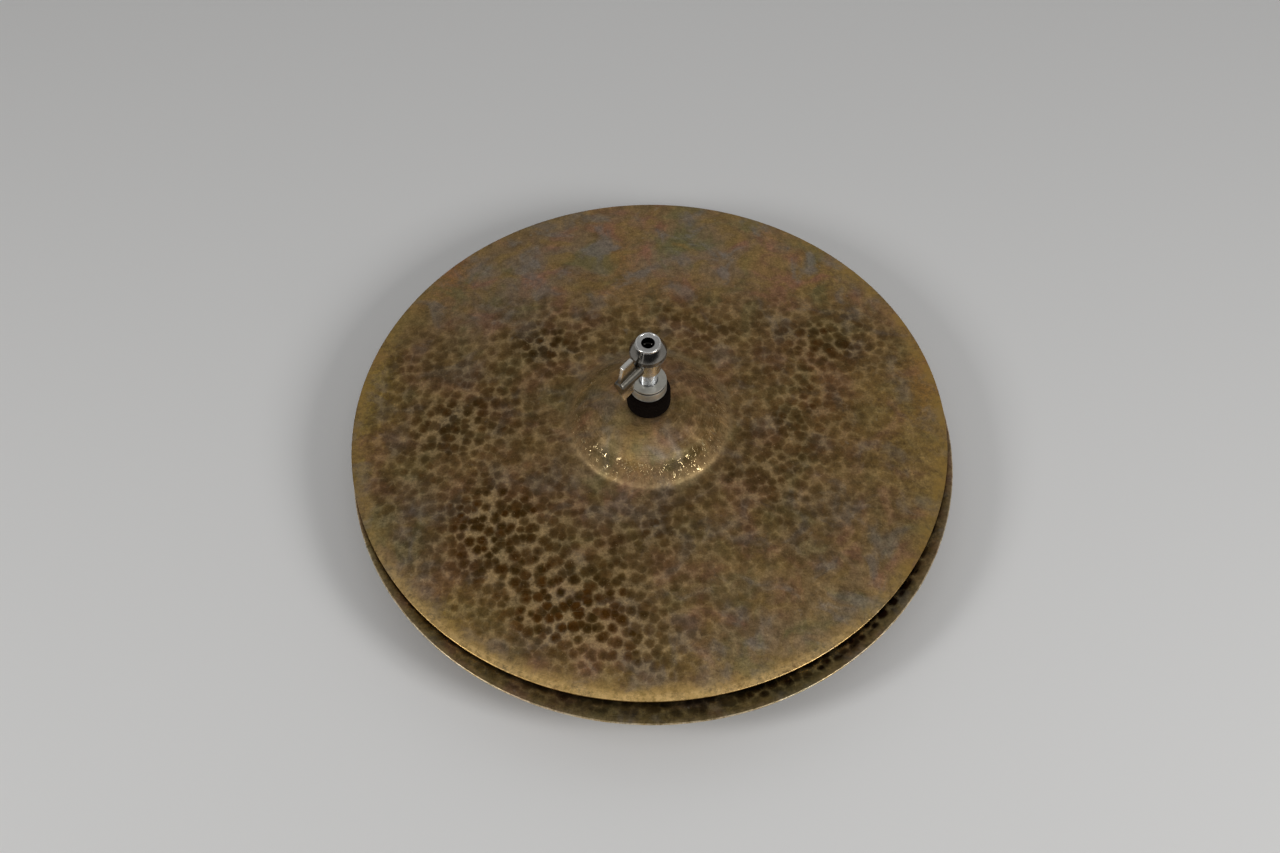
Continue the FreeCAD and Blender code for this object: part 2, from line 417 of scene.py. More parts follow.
def cymbal_outline(thickness, outer_step=1.6, inner_step=2.8):
    """The closed section of a cymbal, bell up, and the number of its leading points on the inner face.

    It runs from the hole along the inner face to the rim, round the rim, and back along the outer face.
    """
    rim_slope = math.asin(CYMBAL_R / BOW_RADIUS)
    bow = (0.0, -(BOW_RADIUS - thickness) * math.cos(rim_slope))
    rise = CYMBAL_HEIGHT - bow[1] - math.sqrt(BOW_RADIUS ** 2 - BELL_R ** 2)
    dome_radius = ((BELL_R - CROWN_R) ** 2 + rise ** 2) / (2 * rise)
    dome = (CROWN_R, CYMBAL_HEIGHT - dome_radius)
    apart = math.dist(dome, bow)
    to_dome = dome_radius + BELL_FILLET
    to_bow = BOW_RADIUS + BELL_FILLET
    along = (apart ** 2 + to_dome ** 2 - to_bow ** 2) / (2 * apart)
    aside = math.sqrt(to_dome ** 2 - along ** 2)
    ux, uz = (bow[0] - dome[0]) / apart, (bow[1] - dome[1]) / apart
    fillet = (dome[0] + ux * along - uz * aside, dome[1] + uz * along + ux * aside)
    dome_slope = math.atan2(fillet[0] - dome[0], fillet[1] - dome[1])
    bow_slope = math.atan2(fillet[0] - bow[0], fillet[1] - bow[1])

    def face(inset, step, hole_edge, rim_edge):
        """Points from the hole to the rim, stopping short of both by the edges' rounding."""
        height = CYMBAL_HEIGHT - inset
        start = HOLE_R + hole_edge
        last = rim_slope - rim_edge / BOW_RADIUS
        points = [(r, height) for r in np.linspace(start, CROWN_R, 5)[:-1]]
        for centre, radius, low, high in (
            (dome, dome_radius - inset, 0.0, dome_slope),
            (fillet, -BELL_FILLET - inset, dome_slope, bow_slope),
            (bow, BOW_RADIUS - inset, bow_slope, last),
        ):
            count = max(4, round(abs(radius * (high - low)) / step))
            slopes = np.linspace(low, high, count + 1)
            points += [on_arc(centre, radius, s) for s in (slopes if centre is bow else slopes[:-1])]
        return points

    def edge_point(share):
        """Round the rim's edge, from the inner face (0) to the outer face (1)."""
        back = 0.35 * abs(2 * share - 1) ** 2.5
        return on_arc(bow, BOW_RADIUS - thickness * (1 - share), rim_slope - back / BOW_RADIUS)

    inner = face(thickness, inner_step, 0.2, 0.6)
    outer = face(0.0, outer_step, 0.2, 0.6)
    rim = [edge_point(s) for s in np.linspace(0, 1, 7)]
    top = CYMBAL_HEIGHT
    hole = [(HOLE_R, top - 0.2), (HOLE_R, top - thickness / 2), (HOLE_R, top - thickness + 0.2)]
    return inner + rim + outer[::-1] + hole, len(inner)


def bumps(x, y, spots):
    """Soft round patches added together without passing 1, from (x, y, half width, half height, weight)."""
    clear = np.ones_like(x)
    for cx, cy, wide, high, weight in spots:
        clear *= 1 - weight * np.exp(-((x - cx) / wide) ** 2 - ((y - cy) / high) ** 2)
    return 1 - clear


def step(value, low, high):
    t = np.clip((value - low) / (high - low), 0, 1)
    return t * t * (3 - 2 * t)


def upper_patina(x, y, r):
    """Where the upper cymbal's marks are dark, and where its colour is warm, cool, olive or hazy."""
    marks = bumps(x, y, [
        (-86, -72, 62, 56, 1.0), (-42, -124, 70, 42, 0.98), (-108, 2, 56, 46, 0.88), (-62, 56, 56, 36, 0.86),
        (28, 66, 66, 28, 0.85), (112, 60, 46, 36, 0.85), (84, 6, 50, 44, 0.85), (60, -46, 44, 32, 0.72),
        (0, -72, 46, 30, 0.72), (92, -74, 56, 46, 0.45), (52, -120, 60, 30, 0.25), (150, -26, 24, 56, 0.25),
        (-148, -30, 30, 54, 0.5), (-150, 44, 26, 30, 0.62), (-8, -150, 44, 20, 0.75),
    ])
    marks *= step(r, 44, 52) * 0.9 + 0.1
    # On the bell, the marks on the right side are faint hammer marks; those on the left side paint shade,
    # darkening that side.
    marks = marks + (1 - step(r, 44, 50)) * (0.5 * step(x, -5, 20) + 0.25 * step(-x, 5, 25))
    marks *= 1 - step(r, 165, 173)
    marks *= 1 - step(y + 0.12 * x * np.sign(-x), 86, 112) * 0.95
    warm = bumps(x, y, [
        (-126, 118, 16, 26, 0.9), (168, 34, 12, 40, 0.7), (-14, 132, 20, 16, 0.5), (105, 95, 26, 16, 0.35),
        (-62, -128, 40, 28, 0.35), (110, 20, 50, 50, 0.3), (20, 100, 60, 20, 0.35), (90, 140, 30, 14, 0.4),
        (-100, -60, 40, 40, 0.2),
    ])
    cool = bumps(x, y, [
        (-96, 92, 30, 26, 0.7), (-62, 126, 24, 18, 0.7), (-140, -68, 20, 26, 0.7), (-72, -148, 18, 10, 0.5),
        (-20, -60, 40, 24, 0.25), (60, -150, 30, 14, 0.35), (25, 120, 40, 26, 0.3), (-40, -30, 24, 24, 0.2),
    ])
    olive = bumps(x, y, [
        (-164, 34, 14, 40, 0.9), (-120, -124, 24, 20, 0.7), (146, 0, 22, 50, 0.5), (168, -40, 14, 60, 0.5),
        (-168, -20, 12, 60, 0.6), (120, 110, 26, 20, 0.5), (0, -160, 120, 14, 0.3),
    ])
    haze = bumps(x, y, [
        (20, 140, 90, 34, 0.75), (-90, 112, 50, 34, 0.5), (100, 108, 40, 34, 0.5), (72, -134, 44, 26, 0.55),
        (110, -96, 44, 40, 0.35), (-146, -64, 22, 30, 0.5), (-40, -158, 40, 10, 0.4), (0, -40, 44, 16, 0.5),
    ])
    return marks, warm, cool, olive, haze


def lower_patina(x, y, r):
    """The lower cymbal's marks and colours: darker and more even than the upper one's."""
    angle = np.arctan2(y, x)
    marks = (0.86 + 0.14 * np.cos(2 * angle + 0.7)) * step(r, 46, 56) * (1 - step(r, 171, 176))
    warm = 0.25 + 0.2 * np.cos(3 * angle + 1.0)
    cool = 0.25 + 0.2 * np.cos(2 * angle - 0.5)
    olive = 0.45 + 0.25 * np.cos(angle + 2.6)
    haze = 0.2 + 0.15 * np.cos(3 * angle)
    return marks, warm, cool, olive, haze


def stored(mesh, name, kind, values):
    """Stores numbers on a mesh's points."""
    attribute = mesh.attributes.new(name, kind, "POINT")
    key = {"FLOAT": "value", "FLOAT_VECTOR": "vector", "FLOAT_COLOR": "color"}[kind]
    attribute.data.foreach_set(key, np.ascontiguousarray(values, dtype=np.float32).ravel())


def dent_group():
    """Geometry nodes that press the hammer marks and slow waves into a cymbal."""
    group = bpy.data.node_groups.new("hammering", "GeometryNodeTree")
    group.interface.new_socket("Geometry", in_out="INPUT", socket_type="NodeSocketGeometry")
    group.interface.new_socket("Geometry", in_out="OUTPUT", socket_type="NodeSocketGeometry")
    nodes = Tree(group)
    start = nodes.make("NodeGroupInput")
    end = nodes.make("NodeGroupOutput")
    place = nodes.stored("marks", "FLOAT_VECTOR")
    hollow = hammer_marks(nodes, place)[3]
    wave = nodes.math("SUBTRACT", nodes.noise(place, 0.03, 1.0), 0.5)
    press = nodes.plus(nodes.times(hollow, -DENT_DEPTH), wave, WAVE_DEPTH)
    press = nodes.times(press, nodes.stored("dent", "FLOAT"), MM)
    up = nodes.stored("outward", "FLOAT_VECTOR")
    shift = nodes.make("ShaderNodeVectorMath", {0: up, "Scale": press}, operation="SCALE").outputs[0]
    moved = nodes.make("GeometryNodeSetPosition", {"Geometry": start.outputs[0], "Offset": shift})
    group.links.new(moved.outputs[0], end.inputs[0])
    return group


DENTS = dent_group()


def build_cymbal(name, thickness, centre, rim_level, facing, patina, shift, band, columns=512):
    """A hammered cymbal.  facing is 1 with the bell up and -1 with the bell down, from its rim's level."""
    outline, inner_count = cymbal_outline(thickness)
    radius = np.array([p[0] for p in outline])
    height = np.array([p[1] for p in outline])
    angle = 2 * np.pi * np.arange(columns) / columns
    x = np.outer(radius, np.cos(angle)).ravel()
    y = np.outer(radius, np.sin(angle)).ravel()
    z = np.repeat(height, columns)
    points = np.stack([x + centre.x, y + centre.y, rim_level + facing * z], axis=1)
    faces = grid_faces(len(outline), columns, True)
    if facing < 0:
        faces = [face[::-1] for face in faces]
    piece = new_piece(name, points, faces, 50.0)

    on_inner = np.repeat(np.arange(len(outline)) < inner_count, columns)
    r = np.hypot(x, y)
    dent = step(r, 14, 30) * (1 - step(r, 164, 172)) * (0.35 + 0.65 * step(r, 44, 56))
    marks, warm, cool, olive, haze = patina(x, y, r)
    # Painted highlight at the rims: the gilded band is laid on most strongly at the front, where the near rim
    # catches the light, and the upper cymbal's polished edge is painted bright toward the front; the lower
    # cymbal's edge is painted pale all round as a highlight.
    front = step(-y - 0.15 * x, 60, 165)
    edge = step(r, *band)
    rim = edge * np.maximum(front, 0.2 + 0.7 * step(x, 30, 165) + 0.35 * step(-x, 110, 175))
    edge_highlight = front * (0.45 * edge + 0.75 * step(r, 171.5, 175)) if facing > 0 else 0.8 * edge
    one = np.ones_like(x)
    stored(piece.data, "marks", "FLOAT_VECTOR", np.stack([x + shift, y + shift, 0 * x], axis=1))
    stored(piece.data, "outward", "FLOAT_VECTOR", np.stack([0 * x, 0 * x, facing * one], axis=1))
    stored(piece.data, "dent", "FLOAT", dent)
    stored(piece.data, "zones", "FLOAT_COLOR", np.stack([marks, warm, cool, one], axis=1))
    stored(piece.data, "tone", "FLOAT_COLOR", np.stack([olive, haze, rim, edge_highlight], axis=1))
    stored(piece.data, "inner", "FLOAT", on_inner.astype(float))
    modifier = piece.modifiers.new("hammering", "NODES")
    modifier.node_group = DENTS
    apply_modifiers(piece)
    return piece


class Patina:
    """What a cymbal's colour is worked out from: its zones, its hammer marks and noise at many scales."""

    def __init__(self, nodes, shift):
        place = nodes.attribute("marks").outputs["Vector"]
        flat = nodes.moved(place, offset=(-shift, -shift, 0))
        tone = nodes.attribute("tone")
        self.place = place
        self.marks, self.warm, self.cool = nodes.split(nodes.attribute("zones").outputs["Color"])
        # rim and the tone's alpha carry the painted highlights on the rim band and along the polished edge.
        self.olive, self.haze, self.rim = nodes.split(tone.outputs["Color"])
        self.edge_highlight = tone.outputs["Alpha"]
        self.inner = nodes.attribute("inner").outputs["Fac"]
        self.radius = nodes.make("ShaderNodeVectorMath", {0: flat}, operation="LENGTH").outputs["Value"]
        self.spoke = nodes.make("ShaderNodeVectorMath", {0: flat}, operation="NORMALIZE").outputs[0]
        self.inside, self.darkness, self.redness, self.hollow = hammer_marks(nodes, place)

        def cloudy(x, y, scale, detail, roughness, distortion=0.0):
            return nodes.noise(nodes.moved(place, offset=(x, y, 0)), scale, detail, roughness, distortion)

        self.patch = nodes.noise(place, 0.022, 3.0, 0.55)
        self.tarnish = cloudy(200, 10, 0.035, 4.0, 0.52, 0.6)
        self.bloom = cloudy(20, 230, 0.05, 4.0, 0.52, 0.6)
        self.cloud = cloudy(90, 40, 0.075, 4.0, 0.6, 0.5)
        self.pale = cloudy(420, 80, 0.1, 4.0, 0.6)
        self.blotch = cloudy(60, 150, 0.17, 4.0, 0.7)
        self.mottle = cloudy(10, 70, 0.34, 5.0, 0.75)
        self.fleck = cloudy(7, 3, 0.55, 3.0, 0.7, 1.2)
        self.speck = cloudy(300, 0, 0.7, 2.0, 0.6)
        self.grain = nodes.noise(place, 0.8, 4.0, 0.85)


def toned(nodes, p, body, inner_shade):
    """Bronze between the marks: tinted from place to place, and painted darker on its inner face as shade
    where the two cymbals face each other.
    """
    colour = nodes.mix(nodes.ramp(p.cloud, 0.33, 0.67), scaled(body, 0.78), scaled(body, 1.2))
    tinted = nodes.line(p.haze, 0.55, 0.36)
    for amount, where, tint in (
        (p.warm, nodes.ramp(p.mottle, 0.3, 0.6), WARM),
        (p.cool, nodes.ramp(p.cloud, 0.3, 0.6), COOL),
        (p.olive, nodes.ramp(p.mottle, 0.3, 0.62), OLIVE),
        (p.haze, nodes.ramp(p.patch, 0.3, 0.6), HAZE),
        (tinted, nodes.ramp(p.tarnish, 0.5, 0.66), PINK),
        (tinted, nodes.ramp(p.tarnish, 0.48, 0.34), GREEN),
        (tinted, nodes.ramp(p.bloom, 0.5, 0.66), SLATE),
        (tinted, nodes.ramp(p.bloom, 0.48, 0.34), GILT),
        # painted shade on the inner face
        (inner_shade, p.inner, PAINTED_INNER_SHADE),
    ):
        colour = nodes.layer(colour, nodes.times(where, amount), tint)
    return colour


def marked(nodes, p, colour, mark, bright):
    """Adds dark marks, each its own shade, with a paler web of untouched metal between them."""
    strong = nodes.ramp(p.marks, 0.72, 0.96)
    uneven = nodes.line(nodes.ramp(p.patch, 0.3, 0.6), 0.3, 0.72)
    shown = nodes.times(p.marks, uneven, nodes.line(strong, 0.3, 0.9))
    shadowed = nodes.line(nodes.ramp(p.cloud, 0.58, 0.36), 0.4, 0.14)
    colour = nodes.layer(colour, nodes.times(shadowed, shown), mark)
    between = nodes.math("SUBTRACT", 1.0, p.inside)
    web = nodes.times(between, p.marks, nodes.ramp(p.mottle, 0.25, 0.6))
    colour = nodes.layer(colour, nodes.times(web, nodes.line(strong, 0.35, 0.4)), bright)
    reddened = nodes.times(nodes.ramp(p.redness, 0.3, 0.9), nodes.line(p.warm, 0.8, 0.35))
    stain = nodes.layer(mark, reddened, scaled(mark, 1.7, 1.15, 0.8))
    stain = nodes.layer(stain, p.cool, scaled(mark, 1.1, 1.1, 1.8))
    deep = nodes.plus(nodes.times(p.inside, 0.42), p.darkness, 0.62)
    deep = nodes.times(deep, shown, nodes.line(p.mottle, 1.2, 0.42))
    return nodes.layer(colour, deep, stain)


def grained(nodes, p, colour, mark, bright):
    """Adds blotches and grain as light and shade, then pale specks, dark pits and whitish bloom."""
    grit = nodes.line(nodes.ramp(p.grain, 0.28, 0.72, False), 0.7, 0.65)
    grit = nodes.times(grit, nodes.line(nodes.ramp(p.mottle, 0.3, 0.7, False), 0.5, 0.75))
    grit = nodes.times(grit, nodes.line(nodes.ramp(p.blotch, 0.3, 0.7, False), 0.46, 0.77))
    shade = nodes.make("ShaderNodeCombineColor", {0: grit, 1: grit, 2: grit}).outputs[0]
    colour = nodes.layer(colour, 1.0, shade, "MULTIPLY")
    colour = nodes.layer(colour, nodes.times(nodes.ramp(p.speck, 0.67, 0.76), 0.7), bright)
    colour = nodes.layer(colour, nodes.times(nodes.ramp(p.speck, 0.33, 0.25), 0.7), mark)
    whitish = nodes.times(nodes.ramp(p.pale, 0.66, 0.76), nodes.line(p.haze, 0.6, 0.15))
    return nodes.layer(colour, whitish, BLOOM)


def lathed_rim_and_highlight(nodes, p, colour, rings, edge):
    """Adds the gilded band at the rim, painted brighter at the front as a highlight, and a painted highlight
    along its polished, ringed edge.
    """
    worn = nodes.line(nodes.ramp(p.mottle, 0.25, 0.55), 0.5, 0.5)
    gilded = nodes.line(nodes.ramp(p.cloud, 0.42, 0.6), 0.6, 0.25)
    colour = nodes.layer(colour, nodes.times(p.rim, gilded, worn), RIM_GOLD)
    patchy = nodes.line(nodes.ramp(p.mottle, 0.38, 0.56), 0.5, 0.12)
    patchy = nodes.plus(patchy, nodes.ramp(p.blotch, 0.42, 0.62), 0.4)
    return nodes.layer(colour, nodes.times(p.edge_highlight, nodes.line(rings, 0.5, 0.6), patchy), edge)


def turned_bell(nodes, p, colour, streaks, mark, bright):
    """Adds the bell's turning lines and the worn ring round its foot."""
    ring = nodes.times(nodes.ramp(p.radius, 41, 45.5), nodes.ramp(p.radius, 52, 47))
    on_bell = nodes.ramp(p.radius, 50, 42)
    colour = nodes.layer(colour, nodes.times(on_bell, nodes.ramp(streaks, 0.52, 0.68), 0.35), bright)
    colour = nodes.layer(colour, nodes.times(on_bell, nodes.ramp(streaks, 0.46, 0.32), 0.5), mark)
    return nodes.layer(colour, nodes.times(ring, nodes.ramp(p.mottle, 0.25, 0.6), 0.5), bright)


def turning_lines(nodes, p, turn):
    """Short streaks round the axis, from noise that runs along the turning direction."""
    sweep = nodes.moved(p.spoke, scale=(2.2, 2.2, 0))
    both = {0: sweep, 1: nodes.moved(turn, scale=(1.3, 0, 0))}
    lathed = nodes.make("ShaderNodeVectorMath", both, operation="ADD").outputs[0]
    return nodes.noise(lathed, 1.0, 4.0, 0.8)


def scratches(nodes, place):
    """Hairline scratches at three angles."""
    lines = None
    for turned_by, seed in ((0.4, 0), (1.9, 60), (2.7, 140)):
        spun = nodes.make("ShaderNodeMapping", {"Vector": place, "Location": (seed, seed, 0),
                                                "Rotation": (0, 0, turned_by),
                                                "Scale": (0.05, 2.4, 1)}).outputs[0]
        line = nodes.ramp(nodes.noise(spun, 1.0, 1.0), 0.76, 0.78)
        lines = line if lines is None else nodes.math("MAXIMUM", lines, line)
    return lines


def bronze(name, body, mark, bright, edge, shift, inner_shade):
    """Hammered, hand-toned bronze.

    body, mark, bright and edge are its colours between, in and beyond the marks and at the polished edge,
    where edge is a painted highlight; inner_shade is how strongly the inner face is painted in shade.
    """
    material, nodes, shader = new_material(name)
    p = Patina(nodes, shift)
    turn = nodes.make("ShaderNodeCombineXYZ", {0: p.radius}).outputs[0]
    rings = nodes.noise(turn, 1.1, 3.0, 0.7)
    streaks = turning_lines(nodes, p, turn)
    # the foot of the bell is polished in flecks that catch the light; their pale colour also paints glints
    foot = nodes.times(nodes.ramp(p.radius, 35, 40), nodes.ramp(p.radius, 50, 45))
    burnished_glints = nodes.times(foot, nodes.ramp(p.fleck, 0.585, 0.64), nodes.ramp(p.blotch, 0.42, 0.54))

    colour = toned(nodes, p, body, inner_shade)
    colour = marked(nodes, p, colour, mark, bright)
    colour = grained(nodes, p, colour, mark, bright)
    colour = lathed_rim_and_highlight(nodes, p, colour, rings, edge)
    colour = turned_bell(nodes, p, colour, streaks, mark, bright)
    colour = nodes.layer(colour, nodes.times(scratches(nodes, p.place), 0.2), RIM_PALE)
    colour = nodes.layer(colour, nodes.times(foot, 0.1), mark)
    # painted glints: the flecks at the bell's foot are laid on in pale colour
    colour = nodes.layer(colour, burnished_glints, RIM_PALE)

    rough = nodes.line(p.mottle, 0.25, 0.33)
    rough = nodes.math("SUBTRACT", rough, nodes.times(p.rim, 0.08))
    rough = nodes.plus(rough, nodes.ramp(p.radius, 50, 42), 0.1)
    rough = nodes.plus(rough, foot, 0.24)
    rough = nodes.math("MAXIMUM", nodes.math("SUBTRACT", rough, nodes.times(burnished_glints, 0.7)), 0.12)
    height = nodes.plus(nodes.times(p.hollow, -0.8), p.grain, 0.3)
    fine = nodes.plus(nodes.times(streaks, 0.3), rings, p.rim)
    fine = nodes.plus(fine, foot, nodes.times(p.fleck, 3.0))
    normal = nodes.bump(fine, 0.1, nodes.bump(height, 0.05))
    connect(nodes, shader, Base_Color=colour, Roughness=rough, Normal=normal, Metallic=1.0)
    return material


def scaled(colour, *by):
    """A colour times one number, or times three."""
    return tuple(c * k for c, k in zip(colour, by * 3 if len(by) == 1 else by))


WARM = (0.54, 0.25, 0.065)
COOL = (0.28, 0.225, 0.185)
OLIVE = (0.52, 0.35, 0.09)
HAZE = (0.42, 0.30, 0.185)
PINK = (0.52, 0.245, 0.155)
GREEN = (0.29, 0.265, 0.11)
SLATE = (0.36, 0.32, 0.28)
GILT = (0.48, 0.31, 0.105)
BLOOM = (0.62, 0.60, 0.52)
# RIM_GOLD is laid on the rim band, most strongly at the front as a painted highlight; RIM_PALE colours
# hairline scratches and the pale flecks that paint glints at the bell's foot.
RIM_GOLD = (0.58, 0.355, 0.09)
RIM_PALE = (1.0, 0.77, 0.41)
PAINTED_INNER_SHADE = (0.07, 0.053, 0.025)

upper = build_cymbal("upper_hat", UPPER_THICK, UPPER, RIM_LEVEL, 1,
                     upper_patina, UPPER_SHIFT, UPPER_BAND)
lower = build_cymbal("lower_hat", LOWER_THICK, LOWER, node_box("lower_cymbal")[1].z, -1,
                     lower_patina, LOWER_SHIFT, LOWER_BAND)
# The edge colours are painted highlights along the rims, the lower cymbal's paler; 0.5 is how strongly each
# inner face is painted in shade.
UPPER_BRONZE = bronze("upper_bronze", (0.41, 0.265, 0.115), (0.085, 0.045, 0.0105),
                      (0.60, 0.425, 0.215), (1.0, 0.68, 0.28), UPPER_SHIFT, 0.5)
LOWER_BRONZE = bronze("lower_bronze", (0.25, 0.185, 0.075), (0.012, 0.006, 0.002),
                      (0.30, 0.225, 0.10), (1.0, 0.9, 0.7), LOWER_SHIFT, 0.5)
wear(upper, UPPER_BRONZE, "upper_bronze", "upper_cymbal", "upper_cymbal")
wear(lower, LOWER_BRONZE, "lower_bronze", "lower_cymbal", "lower_cymbal")


# ---- clutch metal ----
def plated(name, colour, rough, lines, smear, metallic=1.0, finish_and_light=None):
    """Turned and plated metal: rings of tool marks, fine scratches, dull smears and painted shade in its
    crevices.

    The last argument, a function, changes the colour and the roughness from place to place, and paints light
    and shade.
    """
    material, nodes, shader = new_material(name)
    place = nodes.object_mm()
    local = nodes.moved(place, offset=(-CLUTCH.x, -CLUTCH.y, 0))
    x, y, z = nodes.split(local)
    radius = nodes.math("SQRT", nodes.plus(nodes.times(x, x), y, y))
    turn = nodes.make("ShaderNodeCombineXYZ", {0: radius, 1: z}).outputs[0]
    rings = nodes.noise(turn, 4.5, 2.0, 0.6)
    haze = nodes.noise(local, 0.35, 4.0, 0.6)
    fine = nodes.noise(nodes.moved(local, scale=(1, 1, 0.12)), 6.0, 2.0)
    tint = nodes.mix(nodes.ramp(haze, 0.35, 0.7), colour, scaled(colour, 0.86))
    # painted shade: ambient occlusion darkens crevices and corners
    occlusion_shade = nodes.make("ShaderNodeAmbientOcclusion", {"Distance": 2.0 * MM}, samples=8).outputs["AO"]
    tint = nodes.mix(nodes.ramp(occlusion_shade, 0.85, 0.35), tint, scaled(colour, 0.15))
    roughness = nodes.line(nodes.ramp(haze, 0.35, 0.75), smear, rough)
    roughness = nodes.plus(roughness, fine, 0.05)
    if finish_and_light:
        tint, roughness = finish_and_light(nodes, radius, z, tint, roughness)
    normal = nodes.bump(rings, 0.02 * lines)
    connect(nodes, shader, Base_Color=tint, Metallic=metallic, Roughness=roughness, Normal=normal)
    return material


def head_finish_and_light(nodes, radius, z, tint, roughness):
    """A dull face, a lip painted bright as a highlight, a collar painted dark as shade, a body painted pale
    and bluish as a reflection and a bore painted near black as shade.
    """
    top = nodes.ramp(z, CLUTCH_TOP - 1.2, CLUTCH_TOP - 1.0)
    face = nodes.times(nodes.ramp(radius, 6.25, 6.05), top)
    lip = nodes.times(nodes.ramp(radius, 6.05, 6.25), top)
    roughness = nodes.plus(roughness, face, 0.4)
    roughness = nodes.plus(roughness, lip, 0.14)
    # painted highlight on the lip
    tint = nodes.mix(lip, tint, (0.97, 0.96, 0.93))
    body = nodes.ramp(z, CLUTCH_TOP - COLLAR_DEPTH - 0.1, CLUTCH_TOP - COLLAR_DEPTH - 0.3)
    # painted reflection: the body's pale, bluish colour
    tint = nodes.mix(body, tint, (0.88, 0.91, 0.94))
    roughness = nodes.plus(roughness, body, 0.13)
    # painted shade: the collar's dark colour
    tint = nodes.mix(nodes.ramp(radius, 7.32, 7.6), tint, (0.24, 0.225, 0.2))
    # painted shade: the bore near black
    return nodes.mix(nodes.ramp(radius, 3.98, 3.88), tint, (0.05, 0.045, 0.04)), roughness


def wing_highlight(nodes, radius, z, tint, roughness):
    """The wing's ears are painted bright as a highlight and made a little smoother; its hub is darker."""
    above = nodes.math("ABSOLUTE", nodes.math("SUBTRACT", z, CLUTCH_TOP - SCREW_DEPTH))
    ear_highlight = nodes.ramp(above, 6.0, 10.5)
    roughness = nodes.math("SUBTRACT", roughness, nodes.times(ear_highlight, 0.1))
    # painted highlight on the ears
    return nodes.mix(ear_highlight, tint, (0.85, 0.83, 0.78)), roughness


def nut_gap_shade(nodes, radius, z, tint, roughness):
    """Painted shade darkens the gap between the lock nut and the adjusting nut."""
    away = nodes.math("ABSOLUTE", nodes.math("SUBTRACT", z, ring_size("adjusting_nut")[2]))
    gap_shade = nodes.times(nodes.ramp(away, 0.75, 0.55), nodes.ramp(radius, 10.3, 10.0))
    return nodes.mix(gap_shade, tint, (0.05, 0.042, 0.03)), roughness


def moulded(name, colour, rough):
    """Smooth moulded plastic with a little grain."""
    material, nodes, shader = new_material(name)
    place = nodes.object_mm()
    grain = nodes.noise(place, 5.0, 2.0)
    tint = nodes.mix(grain, colour, scaled(colour, 1.5))
    roughness = nodes.line(grain, 0.15, rough)
    connect(nodes, shader, Base_Color=tint, Roughness=roughness, Normal=nodes.bump(grain, 0.02))
    return material


def felted(name):
    """Pressed black wool: matted fibres, pale lint and a soft sheen."""
    material, nodes, shader = new_material(name)
    place = nodes.object_mm()
    wool = nodes.noise(nodes.moved(place, scale=(1, 1, 1.7)), 1.6, 6.0, 0.75, 1.2)
    fibre = nodes.noise(nodes.moved(place, scale=(1, 1, 3.5)), 4.0, 4.0, 0.7, 2.5)
    tint = nodes.mix(nodes.ramp(wool, 0.4, 0.7), (0.0022, 0.0011, 0.0007), (0.012, 0.0075, 0.005))
    tint = nodes.mix(nodes.times(nodes.ramp(fibre, 0.64, 0.72), 0.6), tint, (0.05, 0.04, 0.032))
    height = nodes.plus(wool, fibre, 0.6)
    connect(nodes, shader, Base_Color=tint, Roughness=1.0, Normal=nodes.bump(height, 0.35),
            Specular_IOR_Level=0.05, Sheen_Weight=0.03, Sheen_Roughness=0.5, Sheen_Tint=(0.6, 0.5, 0.42))
    return material


CHROME = plated("chrome", (0.66, 0.655, 0.64), 0.07, 0.6, 0.12, finish_and_light=head_finish_and_light)
STEEL = plated("satin_nickel", (0.64, 0.62, 0.55), 0.4, 1.0, 0.1, metallic=0.8, finish_and_light=nut_gap_shade)
CAST = plated("cast_chrome", (0.20, 0.185, 0.155), 0.26, 0.0, 0.06, finish_and_light=wing_highlight)
BRASS = plated("turned_brass", (0.66, 0.47, 0.2), 0.22, 1.0, 0.1)
FELT = felted("felt")
NYLON = moulded("nylon", (0.03, 0.03, 0.032), 0.42)


# ---- clutch pieces ----
def at_depth(outline):
    """An outline given as depths below the clutch's top, at its place."""
    return [(r, CLUTCH_TOP + z) for r, z in outline]


def screw_drill(name, radius, start, end):
    """A cutter along the wing screw."""
    return aim(rod(name, [(start, radius), (end, radius)], 72), SCREW_AZIMUTH)


